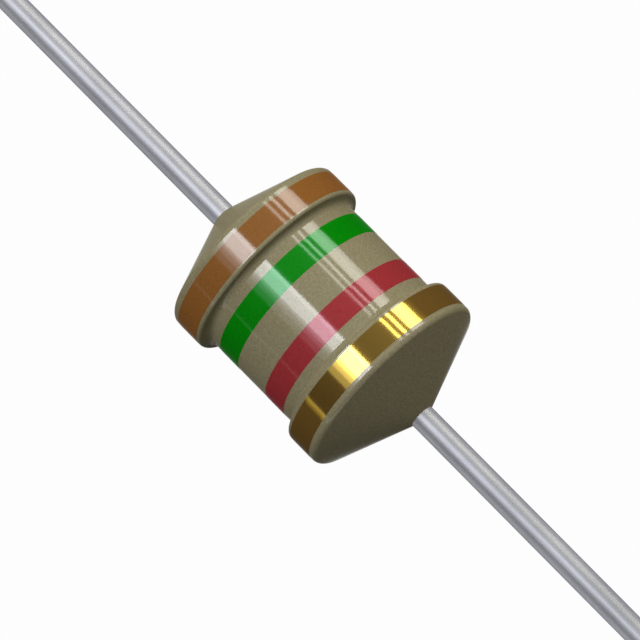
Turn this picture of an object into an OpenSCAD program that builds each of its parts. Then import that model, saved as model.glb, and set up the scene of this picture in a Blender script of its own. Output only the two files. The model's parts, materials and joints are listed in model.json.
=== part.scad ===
// Axial inductor: a ferrite drum core wound with enamelled wire, with a
// tinned copper lead cemented into each end, dipped in epoxy and banded.
// The leads lie along X. The brown band is at -X and the gold band at +X,
// and the origin is the middle of the body.

/* [Core] */
// Length of the drum core over its two flanges
core_l = 5.7; // [5:0.1:8]
// Diameter of the flanges
flange_d = 5.8; // [5.6:0.1:7.5]
// Thickness of each flange
flange_t = 0.75; // [0.5:0.05:1.1]
// Diameter of the spindle that carries the winding
spindle_d = 3; // [2.4:0.1:3.2]
// Chamfer on the rims of the flanges
core_chamfer = 0.12; // [0.04:0.02:0.2]
// Width of the slot in each flange that lets the wire out
slot_w = 0.6; // [0.3:0.05:1]

/* [Winding] */
// Diameter of the wire over its enamel
wire_d = 0.14; // [0.1:0.01:0.16]
// Number of layers of wire on the spindle
wire_layers = 8; // [4:1:9]
// Turns of each wire end round its lead
lead_turns = 3; // [2:1:5]
// Gap between the core's end face and the first turn on the lead
lead_turns_gap = 0.03; // [0.01:0.01:0.1]

/* [Leads] */
// Diameter of the lead wire
lead_d = 0.8; // [0.6:0.05:0.9]
// Length of each lead outside the coating
lead_out = 26; // [20:1:40]
// Length of each lead inside the core
lead_in = 1.4; // [1:0.1:1.8]
// Height of the upset head on the lead's inner end
head_h = 0.1; // [0.05:0.01:0.15]
// Length of the upset head
head_l = 0.25; // [0.15:0.05:0.4]
// Depth of the swaged neck that keys the lead into the resin
neck_depth = 0.02; // [0.01:0.01:0.04]
// Chamfer on the cut outer end of the lead
lead_chamfer = 0.06; // [0.02:0.01:0.1]

/* [Cement and solder] */
// Thickness of the cement round and behind the lead's head
cement_t = 0.05; // [0.03:0.01:0.1]
// Thickness of the solder over the wire on the lead
solder_t = 0.1; // [0.05:0.01:0.2]
// Length over which the solder runs out along the lead
solder_run = 0.3; // [0.2:0.05:0.4]

/* [Coating] */
// Thickness of the coating over the rims of the flanges
rim_t = 0.35; // [0.25:0.01:0.5]
// Thickness of the coating over the winding
barrel_t = 0.41; // [0.3:0.01:0.5]
// Thickness of the coating on the inner sides of the flanges
side_t = 0.17; // [0.12:0.01:0.3]
// Thickness of the coating on the outer sides of the flanges, at the rim
end_t = 0.25; // [0.15:0.01:0.4]
// Slope of the conical ends, measured from the axis
cone_angle = 66; // [60:1:70]
// Rounding between the rim and the conical end
rim_edge_r = 0.18; // [0.05:0.01:0.25]
// Rounding of the rim above the barrel
rim_corner_r = 0.1; // [0.05:0.01:0.2]
// Hollow at the foot of the rim, where the resin pooled
barrel_fillet_r = 0.23; // [0.02:0.01:0.3]

/* [Bands] */
// Thickness of the printed ink
ink_t = 0.03; // [0.01:0.005:0.04]
// Bare coating left on the flat of the rim beside its band, towards the barrel
rim_band_margin = 0.04; // [0.01:0.01:0.15]
// Bare coating left on the flat of the rim beside its band, towards the cone
rim_band_outer_margin = 0.1; // [0.01:0.01:0.2]
// Width of the two bands on the barrel
barrel_band_w = 0.8; // [0.5:0.05:0.9]
// Distance from the middle of the body to the middle of each barrel band
barrel_band_x = 1; // [0.7:0.02:1.04]

/* [Hidden] */
$fn = 96;
// Steps round the wire
wire_steps = 24;
// Steps in each rounded corner of the coating's outline
corner_steps = 8;
// Share by which neighbouring turns stand apart
turn_slack = 1.02;
// How far the varnish fills the valleys between turns, as a share of the wire's radius
valley_fill = 0.3;
// How far the wire end rides up over the last turns, as a share of the wire's radius
tail_lift = 0.35;
// Size of a bend in the wire against the wire's own diameter
bend_swell = 1.08;

core_half = core_l / 2;
flange_r = flange_d / 2;
spindle_r = spindle_d / 2;
coil_half = core_half - flange_t;
wire_r = wire_d / 2;
lead_r = lead_d / 2;

// Each layer nests in the valleys of the one below
layer_step = wire_d * sqrt(3) / 2;
top_layer_r = spindle_r + wire_r + (wire_layers - 1) * layer_step;
coil_r = top_layer_r + wire_r;
turns_per_layer = floor(2 * coil_half / (wire_d * turn_slack));
turn_pitch = 2 * coil_half / turns_per_layer;

tail_r = top_layer_r + tail_lift * wire_r;
slot_floor_r = top_layer_r - wire_d;
lead_turns_x = core_half + lead_turns_gap;
lead_turns_r = lead_r + wire_r;
tail_x = lead_turns_x + turn_pitch;

head_r = lead_r + head_h;
hole_r = head_r + cement_t;
hole_depth = lead_in + cement_t;

rim_r = flange_r + rim_t;
barrel_r = coil_r + barrel_t;
rim_x = core_half + end_t;
wall_x = coil_half - side_t;
tip_x = rim_x + (rim_r - lead_r) / tan(cone_angle);
lead_end_x = tip_x + lead_out;

rim_step = rim_r - barrel_r;
corner_r = min(rim_corner_r, 0.33 * rim_step);
fillet_r = min(barrel_fillet_r, 0.66 * rim_step);
edge_setback = rim_edge_r * tan(cone_angle / 2);
rim_flat_start = wall_x + corner_r;
rim_flat_end = rim_x - edge_setback;

solder_x = lead_turns_x + lead_turns * turn_pitch;
solder_end_x = solder_x + solder_run;
solder_r = lead_r + wire_d + solder_t;
neck_x = (solder_end_x + tip_x) / 2;

// Points [x, r] of an arc from one angle to another
function arc(x, r, rad, from, to) = [for (i = [0:corner_steps])
    let (a = from + (to - from) * i / corner_steps) [x + rad * cos(a), r + rad * sin(a)]];

// Outline of the coating from the middle of the barrel to the tip at +X
half_outline = concat(
    arc(wall_x - fillet_r, barrel_r + fillet_r, fillet_r, -90, 0),
    arc(wall_x + corner_r, rim_r - corner_r, corner_r, 180, 90),
    arc(rim_flat_end, rim_r - rim_edge_r, rim_edge_r, 90, 90 - cone_angle),
    [[tip_x, lead_r]]);
mirrored_outline = [for (i = [len(half_outline) - 1:-1:0]) [-half_outline[i][0], half_outline[i][1]]];

// Outline of the solder, hollow towards the lead
solder_outline = concat(
    [[lead_turns_x, lead_r], [lead_turns_x, solder_r], [solder_x, solder_r]],
    [for (i = [1:corner_steps]) let (s = i / corner_steps)
        [solder_x + solder_run * s, lead_r + (solder_r - lead_r) * pow(1 - s, 2)]]);

// A solid turned about X from points [x, r]
module turned(points) {
    rotate([0, 90, 0]) rotate_extrude() polygon([for (p = points) [p[1], p[0]]]);
}

// A cylinder along X between two places
module rod(from, to, r) {
    translate([from, 0, 0]) rotate([0, 90, 0]) cylinder(h = to - from, r = r);
}

// Turns of wire side by side between two places, solid down to their seat
module turns(from, to, count, seat_r, centre_r) {
    rotate([0, 90, 0]) rotate_extrude() {
        translate([seat_r, from]) square([centre_r + valley_fill * wire_r - seat_r, to - from]);
        for (i = [0:count - 1])
            translate([centre_r, from + (i + 0.5) * turn_pitch]) circle(r = wire_r, $fn = wire_steps);
    }
}

// One end of the wire, from the last turn through the slot and down to the lead
module tail() {
    start_x = coil_half - turn_pitch;
    translate([0, 0, tail_r]) rod(start_x, tail_x, wire_r);
    translate([tail_x, 0, lead_turns_r]) cylinder(h = tail_r - lead_turns_r, r = wire_r);
    for (x = [start_x, tail_x])
        translate([x, 0, tail_r]) sphere(r = bend_swell * wire_r);
    turns(lead_turns_x, solder_x, lead_turns, lead_r, lead_turns_r);
}

// What stands at the gold end stands mirrored at the brown end
module at_brown_end() {
    mirror([1, 0, 0]) children();
}

module lead() {
    start_x = core_half - lead_in;
    turned([[start_x, 0], [start_x, head_r], [start_x + head_l, head_r], [start_x + head_l, lead_r],
            [solder_end_x, lead_r], [neck_x, lead_r - neck_depth], [tip_x, lead_r],
            [lead_end_x - lead_chamfer, lead_r], [lead_end_x, lead_r - lead_chamfer], [lead_end_x, 0]]);
}

module cement() {
    difference() {
        rod(core_half - hole_depth, core_half, hole_r);
        lead();
    }
}

module solder() {
    difference() {
        turned(solder_outline);
        tail();
    }
}

// One slot along the top, cut through the rims of both flanges
module wire_slots() {
    translate([-core_l, -slot_w / 2, slot_floor_r]) cube([2 * core_l, slot_w, flange_r]);
}

module core_blank() {
    c = core_chamfer;
    turned([[-core_half, 0], [-core_half, flange_r - c], [c - core_half, flange_r],
            [-coil_half - c, flange_r], [-coil_half, flange_r - c], [-coil_half, spindle_r],
            [coil_half, spindle_r], [coil_half, flange_r - c], [coil_half + c, flange_r],
            [core_half - c, flange_r], [core_half, flange_r - c], [core_half, 0]]);
}

// The core with its slots and no lead holes, which cement and leads fill flush
module filled_core() {
    difference() {
        core_blank();
        wire_slots();
    }
}

module lead_hole() {
    rod(core_half - hole_depth, core_l, hole_r);
}

module drum_core() {
    color([0.2, 0.19, 0.18])
    difference() {
        filled_core();
        lead_hole();
        at_brown_end() lead_hole();
    }
}

module winding() {
    color([0.72, 0.36, 0.16]) {
        turns(-coil_half, coil_half, turns_per_layer, spindle_r, top_layer_r);
        tail();
        at_brown_end() tail();
    }
}

module lead_brown_end() {
    color([0.76, 0.76, 0.8]) at_brown_end() lead();
}

module lead_gold_end() {
    color([0.76, 0.76, 0.8]) lead();
}

module cement_brown_end() {
    color([0.85, 0.78, 0.55]) at_brown_end() cement();
}

module cement_gold_end() {
    color([0.85, 0.78, 0.55]) cement();
}

module solder_brown_end() {
    color([0.8, 0.8, 0.82]) at_brown_end() solder();
}

module solder_gold_end() {
    color([0.8, 0.8, 0.82]) solder();
}

// The coating is the dipped outside less all that it holds
module coating() {
    color([0.56, 0.52, 0.42])
    difference() {
        turned(concat(mirrored_outline, half_outline));
        filled_core();
        winding();
        lead();
        turned(solder_outline);
        at_brown_end() {
            lead();
            turned(solder_outline);
        }
    }
}

// A printed ring on the coating
module band(from, to, seat_r) {
    turned([[from, seat_r], [from, seat_r + ink_t], [to, seat_r + ink_t], [to, seat_r]]);
}

module rim_band() {
    band(rim_flat_start + rim_band_margin, rim_flat_end - rim_band_outer_margin, rim_r);
}

module barrel_band() {
    band(barrel_band_x - barrel_band_w / 2, barrel_band_x + barrel_band_w / 2, barrel_r);
}

module band_brown() {
    color([0.55, 0.35, 0.18]) at_brown_end() rim_band();
}

module band_green() {
    color([0.03, 0.54, 0.07]) at_brown_end() barrel_band();
}

module band_red() {
    color([0.65, 0.19, 0.22]) barrel_band();
}

module band_gold() {
    color([0.62, 0.47, 0.14]) rim_band();
}

drum_core();
winding();
lead_brown_end();
lead_gold_end();
cement_brown_end();
cement_gold_end();
solder_brown_end();
solder_gold_end();
coating();
band_brown();
band_green();
band_red();
band_gold();
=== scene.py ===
# %% [markdown]
# # A dipped axial inductor, dressed in Blender round its CAD model
#
# The part is a small choke: a drum of ferrite wound with enamelled wire,
# with a tinned copper lead at each end, dipped in beige epoxy and ringed
# with four bands of coloured ink. The CAD model holds all thirteen pieces.
# Here its outside gets smooth meshes and real finishes, and what is sealed
# inside keeps its CAD meshes and gets materials of its own.
#
# Everything is in metres and in the CAD model's own frame. The leads lie
# along X, with the gold band at +X, and the middle of the body is at 0.

import json
import math

import bmesh
import bpy
from mathutils import Matrix, Vector


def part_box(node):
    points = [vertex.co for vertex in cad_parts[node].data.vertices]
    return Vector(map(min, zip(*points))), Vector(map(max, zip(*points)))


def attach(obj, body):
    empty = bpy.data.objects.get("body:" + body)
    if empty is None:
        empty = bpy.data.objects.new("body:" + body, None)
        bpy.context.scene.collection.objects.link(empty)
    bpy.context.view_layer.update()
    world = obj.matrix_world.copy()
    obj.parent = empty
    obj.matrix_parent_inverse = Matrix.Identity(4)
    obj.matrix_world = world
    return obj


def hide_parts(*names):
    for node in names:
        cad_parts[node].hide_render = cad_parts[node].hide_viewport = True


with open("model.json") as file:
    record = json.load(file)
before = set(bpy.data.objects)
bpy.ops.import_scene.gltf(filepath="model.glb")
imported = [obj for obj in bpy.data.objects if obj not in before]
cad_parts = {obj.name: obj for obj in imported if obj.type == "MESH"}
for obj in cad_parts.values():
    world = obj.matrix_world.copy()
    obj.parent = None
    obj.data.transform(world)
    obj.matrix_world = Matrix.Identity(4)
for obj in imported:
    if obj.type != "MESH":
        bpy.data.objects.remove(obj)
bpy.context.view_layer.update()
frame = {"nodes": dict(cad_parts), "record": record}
MM = 0.001

# %% [markdown]
# ## Sizes taken from the CAD model
#
# A scene that repeats sizes by hand goes wrong when the model changes.
# So the outside is read off the boxes of the CAD nodes: how far the
# coating reaches along and across, how wide the bands are and how far the
# ink stands up. Only what no box shows is typed in, where it is needed:
# the roundings, the slope of the cones and the walls inside the coating.

# %% Read the sizes
_, coat_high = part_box("coating")
_, core_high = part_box("drum_core")
_, red_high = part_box("band_red")
gold_low, gold_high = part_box("band_gold")
lead_low, lead_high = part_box("lead_gold_end")

LEAD_R = frame["record"]["mounts"][0]["dims"]["r_mm"] * MM
TIP_X = coat_high.x
RIM_R = coat_high.z
INK_T = gold_high.z - RIM_R
BARREL_R = red_high.z - INK_T
CORE_X, CORE_R = core_high.x, core_high.z
print(f"rims {2 * RIM_R / MM:.2f} mm, barrel {2 * BARREL_R / MM:.2f} mm, "
      f"leads {2 * LEAD_R / MM:.2f} mm, coating {2 * TIP_X / MM:.2f} mm long")

# %% [markdown]
# ## The camera
#
# The photograph was taken from high up with a long lens, so the body hardly
# narrows with distance. A camera needs three directions: right, up and
# back. They are worked out from its azimuth and elevation, and the camera
# aims at a point a little beside the body's middle, because the body isn't
# quite in the middle of the picture.

# %% Place the camera
AZIMUTH, ELEVATION = math.radians(47.0), math.radians(70.4)
PICTURE = 640
MM_PER_PIXEL = 0.0301
DISTANCE = 180.6 * MM
# How far the body's middle is from the picture's middle, in pixels
BODY_RIGHT, BODY_UP = 2.48, 4.31
SENSOR = 36
NEAR_LIMIT, FAR_LIMIT = 1 * MM, 20

right = Vector((math.cos(AZIMUTH), math.sin(AZIMUTH), 0))
back = Vector((math.sin(AZIMUTH) * math.cos(ELEVATION),
               -math.cos(AZIMUTH) * math.cos(ELEVATION),
               math.sin(ELEVATION)))
up = back.cross(right)
pixel = MM_PER_PIXEL * MM
aim = -(BODY_RIGHT * right + BODY_UP * up) * pixel

camera_data = bpy.data.cameras.new("camera")
camera_data.sensor_width = SENSOR
camera_data.lens = SENSOR * DISTANCE / (PICTURE * pixel)
camera_data.clip_start, camera_data.clip_end = NEAR_LIMIT, FAR_LIMIT
camera = bpy.data.objects.new("camera", camera_data)
camera.matrix_world = Matrix.Translation(aim + DISTANCE * back) @ Matrix(
    (right, up, back)).transposed().to_4x4()
bpy.context.scene.collection.objects.link(camera)
bpy.context.scene.camera = camera
print(f"camera lens {camera_data.lens:.0f} mm")

# %% [markdown]
# ## The lamps
#
# The gloss tells where the lamps stood. Each straight streak along the
# body is the reflection of a lamp that runs along the body too. A streak
# at height v on a cylinder of radius R comes from a lamp at twice the
# angle asin(v / R) from the line of sight. So one table of angles holds
# the whole light: a wide strip almost over the camera, a window off to the
# side, and two narrow gaps of light between its blinds. The strip is cool
# and the window warm. The strip has one hard edge and one soft one, and
# the soft one is made of rows that are each dimmer than the last.
#
# All the lamps stand a little towards the brown end. That is why, in the
# photograph, the cone at the gold end is so much darker than the other,
# and why the brown rim's own shadow fills the hollow beside it.
#
# Each row gives where a strip starts and ends, in degrees round the body's
# axis, how bright its face is, and its colour.

# %% Put up the lamps
COOL, WARM = (0.97, 0.985, 1.0), (1.0, 0.965, 0.86)
STRIPS = {
    "strip_edge": (-6.0, -1.2, 12.8, COOL),
    "strip": (-20.0, -6.0, 9.9, COOL),
    "strip_fade": (-24.0, -20.0, 4.4, COOL),
    "strip_far_fade": (-29.0, -24.0, 2.2, COOL),
    "strip_last_fade": (-37.0, -29.0, 0.9, COOL),
    "window_low": (57.9, 70.0, 7.7, WARM),
    "window_high": (70.0, 75.4, 5.9, WARM),
    "blind_gap_wide": (49.1, 52.5, 8.7, WARM),
    "blind_gap_narrow": (40.4, 43.6, 6.5, WARM),
}
LAMP_FAR = 400 * MM
LAMP_LONG = 170 * MM
# How far the lamps stand along X, as a share of their distance
LEAN = -0.3

across = Vector((0, back.y, back.z)).normalized()
upward = Vector((1, 0, 0)).cross(across) * -1


def add_strip(name, start, end, brightness, colour):
    """A long lamp parallel to the body's axis, facing it.

    The brightness of its face is its power over pi times its area.
    """
    middle, half = math.radians((start + end) / 2), math.radians((end - start) / 2)
    out = math.cos(middle) * across + math.sin(middle) * upward
    reach = LAMP_FAR * math.sqrt(1 - LEAN ** 2)
    data = bpy.data.lights.new(name, "AREA")
    data.shape = "RECTANGLE"
    data.size, data.size_y = LAMP_LONG, 2 * reach * math.tan(half)
    data.energy = math.pi * brightness * data.size * data.size_y
    data.color = colour
    lamp = bpy.data.objects.new(name, data)
    along = Vector((1, 0, 0))
    lamp.matrix_world = Matrix.Translation(LAMP_FAR * LEAN * along + reach * out) @ Matrix(
        (along, out.cross(along), out)).transposed().to_4x4()
    bpy.context.scene.collection.objects.link(lamp)


for name, row in STRIPS.items():
    add_strip(name, *row)
print(f"{len(STRIPS)} lamps")

# %% [markdown]
# ## Helpers for materials
#
# Colours are picked as sRGB hex values, as any picker shows them, while
# shaders want linear light. One function turns the first into the second.
# Another adds a node, sets its values and makes its links, so that a
# material reads as a short list of what it is made of. The last two start
# an empty material and link its finished shader to the output.

# %% Colour and node helpers
def linear(code):
    """An sRGB hex colour as linear red, green, blue and alpha."""
    values = [int(code[i:i + 2], 16) / 255 for i in (0, 2, 4)]
    return [v / 12.92 if v <= 0.04045 else ((v + 0.055) / 1.055) ** 2.4 for v in values] + [1.0]


def add_node(material, kind, settings=(), **sockets):
    """A node with its settings, and each socket set to a value or linked to an output.

    A socket is given by its name, or by an underscore and its number.
    """
    node = material.node_tree.nodes.new(kind)
    for key, value in dict(settings).items():
        setattr(node, key, value)
    for key, value in sockets.items():
        numbered = key[1:].isdigit()
        socket = node.inputs[int(key[1:]) if numbered else key.replace("_", " ")]
        if isinstance(value, bpy.types.NodeSocket):
            material.node_tree.links.new(value, socket)
        else:
            socket.default_value = value
    return node


def new_material(name):
    """An empty node material."""
    material = bpy.data.materials.new(name)
    material.use_nodes = True
    material.node_tree.nodes.clear()
    return material


def finish_surface(material, shader):
    """Links a shader to the material's output, and returns the material."""
    add_node(material, "ShaderNodeOutputMaterial", Surface=shader)
    return material

# %% [markdown]
# ## The floor
#
# The part lies on plain white card. To look pure white by lamplight, card
# needs more light than suits the part, so it gives most of its white as
# light of its own, but only to the camera and to what gloss and glass
# show. Every other ray meets plain grey paper, so the card throws little
# light up at the part, as in the photograph. The small share of paper that
# the camera still sees carries the part's shadow.

# %% Lay the floor
FLOOR_HALF = 1.5
CARD_GLOW = 0.98

card = new_material("white_card")
path = add_node(card, "ShaderNodeLightPath")
seen = add_node(card, "ShaderNodeMath", {"operation": "ADD", "use_clamp": True},
                _0=path.outputs["Is Camera Ray"], _1=path.outputs["Is Glossy Ray"])
seen = add_node(card, "ShaderNodeMath", {"operation": "ADD", "use_clamp": True},
                _0=seen.outputs[0], _1=path.outputs["Is Transmission Ray"])
share = add_node(card, "ShaderNodeMath", {"operation": "MULTIPLY"},
                 _0=seen.outputs[0], _1=CARD_GLOW)
paper = add_node(card, "ShaderNodeBsdfDiffuse", Color=linear("8a8a8a"))
glow = add_node(card, "ShaderNodeEmission", Color=linear("ffffff"), Strength=1.0)
finish_surface(card, add_node(card, "ShaderNodeMixShader", _0=share.outputs[0],
                              _1=paper.outputs[0], _2=glow.outputs[0]).outputs[0])

shape = bmesh.new()
bmesh.ops.create_grid(shape, x_segments=1, y_segments=1, size=FLOOR_HALF,
                      matrix=Matrix.Translation((0, 0, -gold_high.z)))
floor_mesh = bpy.data.meshes.new("floor")
shape.to_mesh(floor_mesh)
shape.free()
floor_mesh.materials.append(card)
floor = bpy.data.objects.new("floor", floor_mesh)
bpy.context.scene.collection.objects.link(floor)
print(f"floor at z = {-gold_high.z / MM:.2f} mm")

# %% [markdown]
# ## The room
#
# Between the streaks the photographed gloss is dark, so little else shone.
# The window's side of the body is still lighter than the other, from the
# top edge to the bottom one. A world that brightens evenly from one side
# to the other gives that: the dot product of a direction with the bright
# side runs from -1 to 1, and Map Range turns it into a strength.

# %% Light the room
ROOM_DARK, ROOM_BRIGHT = 0.02, 0.38
BRIGHT_SIDE = (0.0, 1.0, 0.0)

world = bpy.data.worlds.new("room")
world.use_nodes = True
background = world.node_tree.nodes["Background"]
background.inputs["Color"].default_value = (1, 1, 1, 1)
direction = add_node(world, "ShaderNodeTexCoord").outputs["Generated"]
side = add_node(world, "ShaderNodeVectorMath", {"operation": "DOT_PRODUCT"},
                _0=direction, _1=BRIGHT_SIDE)
strength = add_node(world, "ShaderNodeMapRange", Value=side.outputs["Value"],
                    From_Min=-1.0, From_Max=1.0, To_Min=ROOM_DARK, To_Max=ROOM_BRIGHT)
world.node_tree.links.new(strength.outputs[0], background.inputs["Strength"])
bpy.context.scene.world = world
bpy.context.scene.view_settings.view_transform = "Standard"
print(f"room strength {ROOM_DARK} to {ROOM_BRIGHT}")

# %% [markdown]
# ## Turned shapes
#
# Every piece of the outside is round about the leads' axis. So each starts
# as a flat outline of a few corners, in the plane through the axis. The
# corners are rounded with bevel, and spin carries the outline once round.
# Spinning with use_merge closes the seam. Where the outline ends on the
# axis, the doubles there are merged into one pole. Last, the normals are
# made to point outwards.

# %% A function that turns an outline
BODY_STEPS = 160
# Points closer than this become one
WELD = 0.0005 * MM


def turn(name, corners, closed, steps=BODY_STEPS):
    """A solid turned about X from corners (x, radius, offset of the rounding, segments)."""
    shape = bmesh.new()
    spots = [shape.verts.new((x, 0, r)) for x, r, *_ in corners]
    pairs = list(zip(spots, spots[1:])) + ([(spots[-1], spots[0])] if closed else [])
    for pair in pairs:
        shape.edges.new(pair)
    for spot, (_, _, offset, segments) in zip(spots, corners):
        if offset:
            bmesh.ops.bevel(shape, geom=[spot], offset=offset, offset_type="OFFSET",
                            segments=segments, profile=0.5, affect="VERTICES", material=-1)
    bmesh.ops.spin(shape, geom=shape.verts[:] + shape.edges[:], cent=(0, 0, 0), axis=(1, 0, 0),
                   angle=2 * math.pi, steps=steps, use_merge=True)
    bmesh.ops.remove_doubles(shape, verts=shape.verts, dist=WELD)
    bmesh.ops.recalc_face_normals(shape, faces=shape.faces)
    mesh = bpy.data.meshes.new(name)
    shape.to_mesh(mesh)
    shape.free()
    mesh.shade_smooth()
    piece = bpy.data.objects.new(name, mesh)
    bpy.context.scene.collection.objects.link(piece)
    print(f"{name}: {len(mesh.polygons)} faces")
    return piece


def keep_edges(piece, degrees=40):
    """Shades faces that meet at more than this angle with a crisp edge between them."""
    piece.data.set_sharp_from_angle(angle=math.radians(degrees))


# %% [markdown]
# ## The coating
#
# The real coating is an epoxy that the wound core was dipped in. It runs
# over the core's two flanges as raised rims, sinks on to the winding
# between them and draws up the leads as two steep cones. Its outline
# follows the CAD model's, with the same roundings: a wide hollow at the
# foot of each rim, where the resin pooled, a small corner at its top and a
# rounder edge where the cone starts. The inside is the core's own outline,
# so the coating is a true shell.
#
# Half the outline is written down, and the other half is its mirror.

# %% Turn the coating
CONE = math.radians(66)
FOOT_R, CORNER_R, EDGE_R = 0.23 * MM, 0.10 * MM, 0.18 * MM
FOOT_STEPS, CORNER_STEPS = 8, 12
BAND_MARGIN = 0.04 * MM
FLANGE_T = 0.75 * MM
OVER_COIL_T = 0.41 * MM
# The coating's only crisp edges are its tips and the square corners inside it
COAT_EDGE_DEGREES = 50

edge_setback = EDGE_R * math.tan(CONE / 2)
wall_x = gold_low.x - BAND_MARGIN - CORNER_R
rim_x = TIP_X - (RIM_R - LEAD_R) / math.tan(CONE)
coil_x, coil_r = CORE_X - FLANGE_T, BARREL_R - OVER_COIL_T
outside = [(wall_x, BARREL_R, FOOT_R, FOOT_STEPS), (wall_x, RIM_R, CORNER_R, CORNER_STEPS),
           (rim_x, RIM_R, edge_setback, CORNER_STEPS), (TIP_X, LEAD_R, 0, 0)]
inside = [(CORE_X, LEAD_R, 0, 0), (CORE_X, CORE_R, 0, 0), (coil_x, CORE_R, 0, 0),
          (coil_x, coil_r, 0, 0)]
half_loop = outside + inside
other_half = [(-x, *rest) for x, *rest in reversed(half_loop)]

coating = turn("coating_skin", half_loop + other_half, closed=True)
keep_edges(coating, COAT_EDGE_DEGREES)
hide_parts("coating")
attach(coating, "root")

# %% [markdown]
# ## The printed bands
#
# A wheel of ink rolls each band on. The CAD model gives each one a square
# edge 0.03 mm high, which would show as a step. Real ink is thinner and
# runs out to nothing at its edges, so here each ring stands up less, and
# its edges are feathered and rounded. It reaches a little way down into
# the coating, so that no gap shows under it.

# %% Turn the four bands
INK_SHOWN, INK_EDGE = 0.22 * INK_T, 0.1 * INK_T
FEATHER = 0.08 * MM
FEATHER_ROUND, FEATHER_STEPS = 0.6 * FEATHER, 6


def make_band(name, node):
    """A ring of ink in the CAD band's place, feathered out at both edges."""
    low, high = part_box(node)
    skin = high.z - INK_T
    seat, edge, top = skin - INK_T, skin + INK_EDGE, skin + INK_SHOWN
    half = [(low.x, seat, 0, 0), (low.x, edge, 0, 0),
            (low.x + FEATHER, top, FEATHER_ROUND, FEATHER_STEPS)]
    other = [(low.x + high.x - x, *rest) for x, *rest in reversed(half)]
    piece = turn(name, half + other, closed=True)
    keep_edges(piece)
    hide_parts(node)
    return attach(piece, "root")


bands = {colour: make_band(f"ink_ring_{colour}", f"band_{colour}")
         for colour in ("brown", "green", "red", "gold")}

# %% [markdown]
# ## The leads
#
# Each lead is drawn copper wire, tinned. Outside the coating it is a plain
# straight rod, with the sharp edge of its cut end taken off. Inside, it
# ends in an upset head that the cement holds. Both are one outline,
# turned, and the lead at -X is the same outline with the sign of x changed.

# %% Turn the two leads
HEAD_LONG = 0.25 * MM
CUT_EDGE, CUT_STEPS = 0.06 * MM, 3
LEAD_STEPS = 96
head_r = lead_high.z


def make_lead(name, node, side):
    """A lead at +X or -X, from its head in the core to its cut end."""
    start, end = lead_low.x, lead_high.x
    corners = [(start, 0, 0, 0), (start, head_r, 0, 0), (start + HEAD_LONG, head_r, 0, 0),
               (start + HEAD_LONG, LEAD_R, 0, 0), (end, LEAD_R, CUT_EDGE, CUT_STEPS),
               (end, 0, 0, 0)]
    piece = turn(name, [(side * x, *rest) for x, *rest in corners], closed=False,
                 steps=LEAD_STEPS)
    keep_edges(piece)
    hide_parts(node)
    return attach(piece, "root")


leads = [make_lead("lead_wire_brown", "lead_brown_end", -1),
         make_lead("lead_wire_gold", "lead_gold_end", 1)]

# %% [markdown]
# ## The epoxy
#
# Cured epoxy has an index of about 1.5, like most resins. This one is
# filled with mineral powder and pigment, which make it opaque and give its
# colour a fine grain. The real powder is too fine to show, at 0.02 mm or
# less, so the grain is drawn at 0.06 mm, two pixels of the picture.
#
# A dipped skin is glossy but not quite flat. It has long, low waves of a
# millimetre or two with a finer orange peel over them, and patches where
# the gloss is a little duller. Each is noise on Object coordinates, with
# its scale worked out from a real size.
#
# Seen nearly edge-on, plain epoxy would mirror the white card, and the
# photographed one doesn't. Layer Weight tells how far the surface turns
# away, and Map Range takes the gloss down with it. That changes no colour.

# %% Mix the epoxy
GRAIN = 0.06 * MM
WAVE, WAVE_HEIGHT = 1.6 * MM, 0.0003 * MM
PEEL, PEEL_HEIGHT = 0.25 * MM, 0.0001 * MM
HAZE, HAZE_SWING = 0.7 * MM, 0.3
PAINT_ROUGH, PAINT_GLOSS = 0.1, 0.5
GLOSS_FADE = (0.228, 0.268)
EDGE_GLOSS = 0.0006


def object_place(material):
    """Object coordinates in metres, the same on every piece."""
    return add_node(material, "ShaderNodeTexCoord").outputs["Object"]


def noise(material, size, detail=2.0, place=None):
    """Noise whose lumps are about the given size in metres."""
    return add_node(material, "ShaderNodeTexNoise", Vector=place or object_place(material),
                    Scale=1 / size, Detail=detail).outputs["Fac"]


def skin_bump(material, wave_height, peel_height):
    """The normal of a dipped or printed skin: long waves, and a fine orange peel over them."""
    waves = add_node(material, "ShaderNodeBump", Strength=1.0, Distance=wave_height,
                     Height=noise(material, WAVE, 0.0))
    return add_node(material, "ShaderNodeBump", Strength=1.0, Distance=peel_height,
                    Height=noise(material, PEEL, 1.0), Normal=waves.outputs[0]).outputs[0]


def fading(material, level, limits=GLOSS_FADE):
    """A share of gloss that falls from a level to almost none as the surface turns edge-on."""
    facing = add_node(material, "ShaderNodeLayerWeight", Blend=0.5).outputs["Facing"]
    return add_node(material, "ShaderNodeMapRange", {"interpolation_type": "SMOOTHSTEP"},
                    Value=facing, From_Min=limits[0], From_Max=limits[1],
                    To_Min=level, To_Max=EDGE_GLOSS).outputs[0]


def paint(name, dark, light, grain=GRAIN, roughness=PAINT_ROUGH, wave_height=WAVE_HEIGHT,
          peel_height=PEEL_HEIGHT, **sockets):
    """An opaque skin whose colour has a fine grain between two shades."""
    material = new_material(name)
    colour = add_node(material, "ShaderNodeMix", {"data_type": "RGBA"},
                      _0=noise(material, grain), _6=linear(dark), _7=linear(light))
    haze = add_node(material, "ShaderNodeMapRange", Value=noise(material, HAZE),
                    To_Min=(1 - HAZE_SWING) * roughness, To_Max=(1 + HAZE_SWING) * roughness)
    return finish_surface(material, add_node(
        material, "ShaderNodeBsdfPrincipled", Base_Color=colour.outputs[2],
        Roughness=haze.outputs[0], IOR=1.5, Specular_IOR_Level=fading(material, PAINT_GLOSS),
        Normal=skin_bump(material, wave_height, peel_height), **sockets).outputs[0])


# Dipped epoxy: an opaque khaki skin, hard and glossy, with a grain of mineral powder
epoxy = paint("dipped_mineral_filled_epoxy", "7c7351", "b0a788")
coating.data.materials.append(epoxy)
print("the coating is", epoxy.name)

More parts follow.
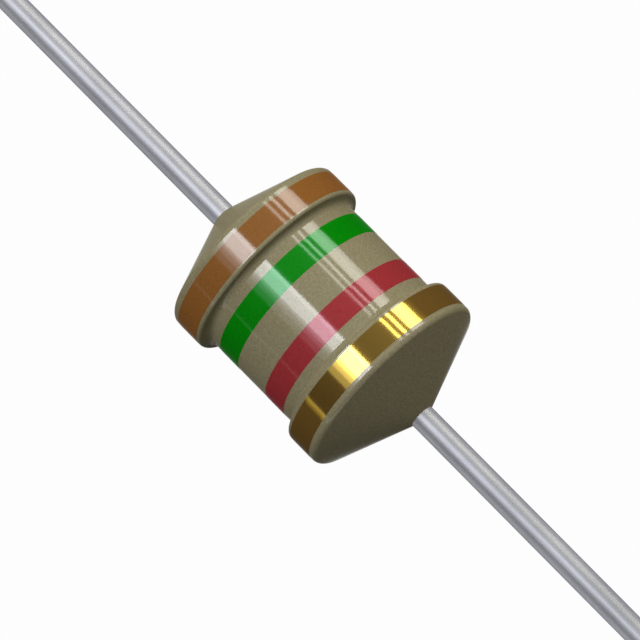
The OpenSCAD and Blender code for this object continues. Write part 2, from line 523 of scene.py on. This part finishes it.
# %% [markdown]
# ## The coloured inks
#
# Brown, green and red are pigmented epoxy inks, as glossy as the coating,
# and they let its waves show through. The streaks on the green and the red
# aren't quite white: light that grazes a strong pigment just under the
# surface takes some of its colour. Specular Tint gives that.

# %% Mix the coloured inks
GREEN_STREAK, RED_STREAK = (0.64, 1.0, 0.8, 1.0), (1.0, 0.74, 0.84, 1.0)

# Epoxy inks: even, strong colours, with a grain of pigment that barely shows
inks = {
    "brown": paint("brown_epoxy_ink", "845320", "a6703a"),
    "green": paint("green_epoxy_ink", "007d02", "129a14", Specular_Tint=GREEN_STREAK),
    "red": paint("red_epoxy_ink", "982b2e", "b44146", Specular_Tint=RED_STREAK),
}
for colour, ink in inks.items():
    bands[colour].data.materials.append(ink)
print("inks:", ", ".join(ink.name for ink in inks.values()))

# %% [markdown]
# ## The gold ink
#
# Gold ink gets its colour from flakes of brass in a clear brown varnish.
# A mix of two shaders says just that: glossy varnish, and through it a
# share of bare brass. It is bright where a lamp is reflected and brown
# where none is. The flakes lie flat, so they too shine less as the band
# turns edge-on, a little later than the coating does.

# %% Mix the gold ink
FLAKE_SHARE, FLAKE_FADE = 0.33, (0.24, 0.30)
FLAKE_ROUGH, VARNISH_GLOSS = 0.1, 0.6
PRINT_WAVE, PRINT_PEEL = 0.00025 * MM, 0.00007 * MM

# Brass flakes in varnish: a yellow metal glint over a clear, glossy brown
gold_ink = new_material("brass_flake_varnish")
level_print = skin_bump(gold_ink, PRINT_WAVE, PRINT_PEEL)
tone = add_node(gold_ink, "ShaderNodeMix", {"data_type": "RGBA"}, _0=noise(gold_ink, GRAIN),
                _6=linear("6b5023"), _7=linear("765929"))
varnish = add_node(gold_ink, "ShaderNodeBsdfPrincipled", Base_Color=tone.outputs[2],
                   Roughness=PAINT_ROUGH, IOR=1.5, Normal=level_print,
                   Specular_IOR_Level=fading(gold_ink, VARNISH_GLOSS))
brass = add_node(gold_ink, "ShaderNodeBsdfPrincipled", Base_Color=linear("fad140"),
                 Metallic=1.0, Roughness=FLAKE_ROUGH, Normal=level_print)
finish_surface(gold_ink, add_node(
    gold_ink, "ShaderNodeMixShader", _0=fading(gold_ink, FLAKE_SHARE, FLAKE_FADE),
    _1=varnish.outputs[0], _2=brass.outputs[0]).outputs[0])
bands["gold"].data.materials.append(gold_ink)
print(f"{gold_ink.name}: {FLAKE_SHARE:.0%} brass")

# %% [markdown]
# ## The tinned wire
#
# Tin plating over drawn copper is a grey-white metal. The die leaves very
# fine lines along the wire, and handling and storage dull it a little. So
# the roughness and the bump both come from noise that is stretched along
# the wire, and broad clouds of duller tin lie over it. The real lines are
# a few thousandths of a millimetre apart. Here they are drawn at 0.05 mm,
# so that they show. A metal's Specular Tint darkens it near its edges,
# which a dull film on tin does too.

# %% Mix the tinned wire
LINE, LINE_STRETCH = 0.05 * MM, 60
CLOUD = 1.2 * MM
EDGE_TINT = (0.0, 0.0, 0.0, 1.0)


def metal(name, dark, light, rough_low, rough_high, line_height):
    """A drawn metal with lines along X and clouds of duller surface."""
    material = new_material(name)
    stretched = add_node(material, "ShaderNodeMapping", Vector=object_place(material),
                         Scale=(1 / LINE_STRETCH, 1, 1)).outputs[0]
    lines = noise(material, LINE, 1.0, stretched)
    colour = add_node(material, "ShaderNodeMix", {"data_type": "RGBA"},
                      _0=noise(material, CLOUD, 3.0), _6=linear(dark), _7=linear(light))
    rough = add_node(material, "ShaderNodeMapRange", Value=lines,
                     To_Min=rough_low, To_Max=rough_high)
    bump = add_node(material, "ShaderNodeBump", Strength=1.0, Distance=line_height, Height=lines)
    return finish_surface(material, add_node(
        material, "ShaderNodeBsdfPrincipled", Base_Color=colour.outputs[2], Metallic=1.0,
        Specular_Tint=EDGE_TINT, Roughness=rough.outputs[0], Normal=bump.outputs[0]).outputs[0])


# Tinned copper: a soft grey-white metal that spreads each reflection across the wire
tinned = metal("tinned_copper_wire", "a9aab1", "c0c1c8", 0.5, 0.6, 0.0008 * MM)
for lead in leads:
    lead.data.materials.append(tinned)
print("the leads are", tinned.name)

# %% [markdown]
# ## What is sealed inside
#
# The core, the winding, the cement and the solder never show, but a part
# may be cut open later, so each gets its real finish too. These are CAD
# nodes, whose meshes stay as they are: only the material in their slot
# changes. The CAD nodes that are replaced above get the same finish as the
# piece that stands for them.

# %% Finish the inner pieces
# Sintered ferrite: a dull black ceramic, rough to the touch
ferrite = paint("sintered_ferrite", "2f2e2d", "3b3937", grain=0.08 * MM, roughness=0.62,
                wave_height=0.004 * MM, peel_height=0.003 * MM)
# Enamelled copper: a metal seen through a clear red-brown coat
wire = paint("enamelled_copper_wire", "a8552a", "bd6531", grain=0.2 * MM, roughness=0.2,
             wave_height=0.001 * MM, peel_height=0.0005 * MM,
             Metallic=0.9, Coat_Weight=0.7, Coat_Roughness=0.08)
# Cured resin: a cloudy amber, duller than the coating because it set against ferrite
resin = paint("cured_resin_cement", "cdb672", "dbc78a", grain=0.15 * MM, roughness=0.4,
              wave_height=0.004 * MM, peel_height=0.002 * MM)
# Tin solder: bright and smooth, because it set from liquid
solder = metal("tin_solder", "c3c4c8", "d2d3d6", 0.16, 0.26, 0.0003 * MM)

FINISHES = {"drum_core": ferrite, "winding": wire,
            "cement_brown_end": resin, "cement_gold_end": resin,
            "solder_brown_end": solder, "solder_gold_end": solder,
            "lead_brown_end": tinned, "lead_gold_end": tinned, "coating": epoxy}
for colour, piece in bands.items():
    FINISHES[f"band_{colour}"] = piece.data.materials[0]
for node, material in FINISHES.items():
    slots = frame["nodes"][node].data.materials
    slots.clear()
    slots.append(material)
print(f"{len(FINISHES)} CAD nodes have their finish")
